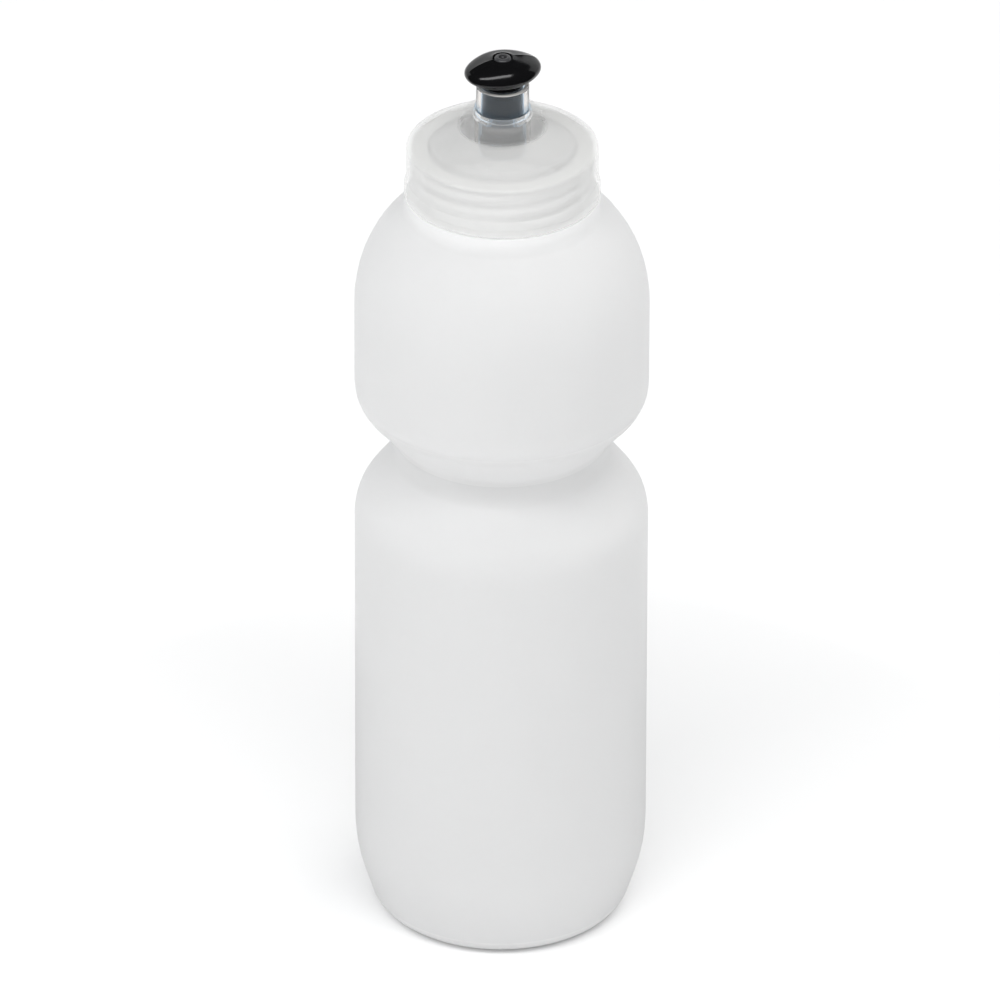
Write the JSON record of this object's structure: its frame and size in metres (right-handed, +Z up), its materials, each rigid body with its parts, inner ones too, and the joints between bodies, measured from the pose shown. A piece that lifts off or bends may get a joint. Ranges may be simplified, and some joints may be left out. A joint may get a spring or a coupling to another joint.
{
  "type": "water bottle",
  "caption": "Translucent squeeze bottle for a bicycle bottle cage, with a waist groove, a clear screw lid and a black push-pull drinking valve.",
  "frame": {"origin": "centre of the bottle's base, on the surface it stands on", "axes": "+Z up along the bottle's axis, -Y towards the front, where the neck's ridge is seen, +X to the right"},
  "size_m": [0.0734, 0.0734, 0.2421],
  "materials": {
    "body": "translucent frosted polyethylene",
    "lid": "hazy see-through polypropylene",
    "gasket": "white silicone",
    "spout": "clear polypropylene",
    "pin": "grey polypropylene",
    "valve": "black polyethylene"
  },
  "bodies": {
    "bottle": {"bottle_body": "body"},
    "gasket": {"lid_gasket": "gasket"},
    "lid": {"screw_lid": "lid", "spout_tube": "spout", "centre_pin": "pin"},
    "valve": {"pull_valve": "valve"}
  },
  "joints": [
    {"name": "lid_lift", "type": "slide", "parent": "bottle", "child": "gasket", "axis": [0, 0, 1], "range_m": [0, 0.0117]},
    {"name": "lid_turn", "type": "hinge", "parent": "gasket", "child": "lid", "pos_m": [0, 0, 0.2104], "axis": [0, 0, 1], "range_deg": [0, 1080]},
    {"name": "valve_pull", "type": "slide", "parent": "lid", "child": "valve", "axis": [0, 0, 1], "range_m": [0, 0.0062]}
  ],
  "couplings": [
    {"joint": "lid_turn", "follows": "lid_lift", "rad_per_m": 1611.1}
  ]
}
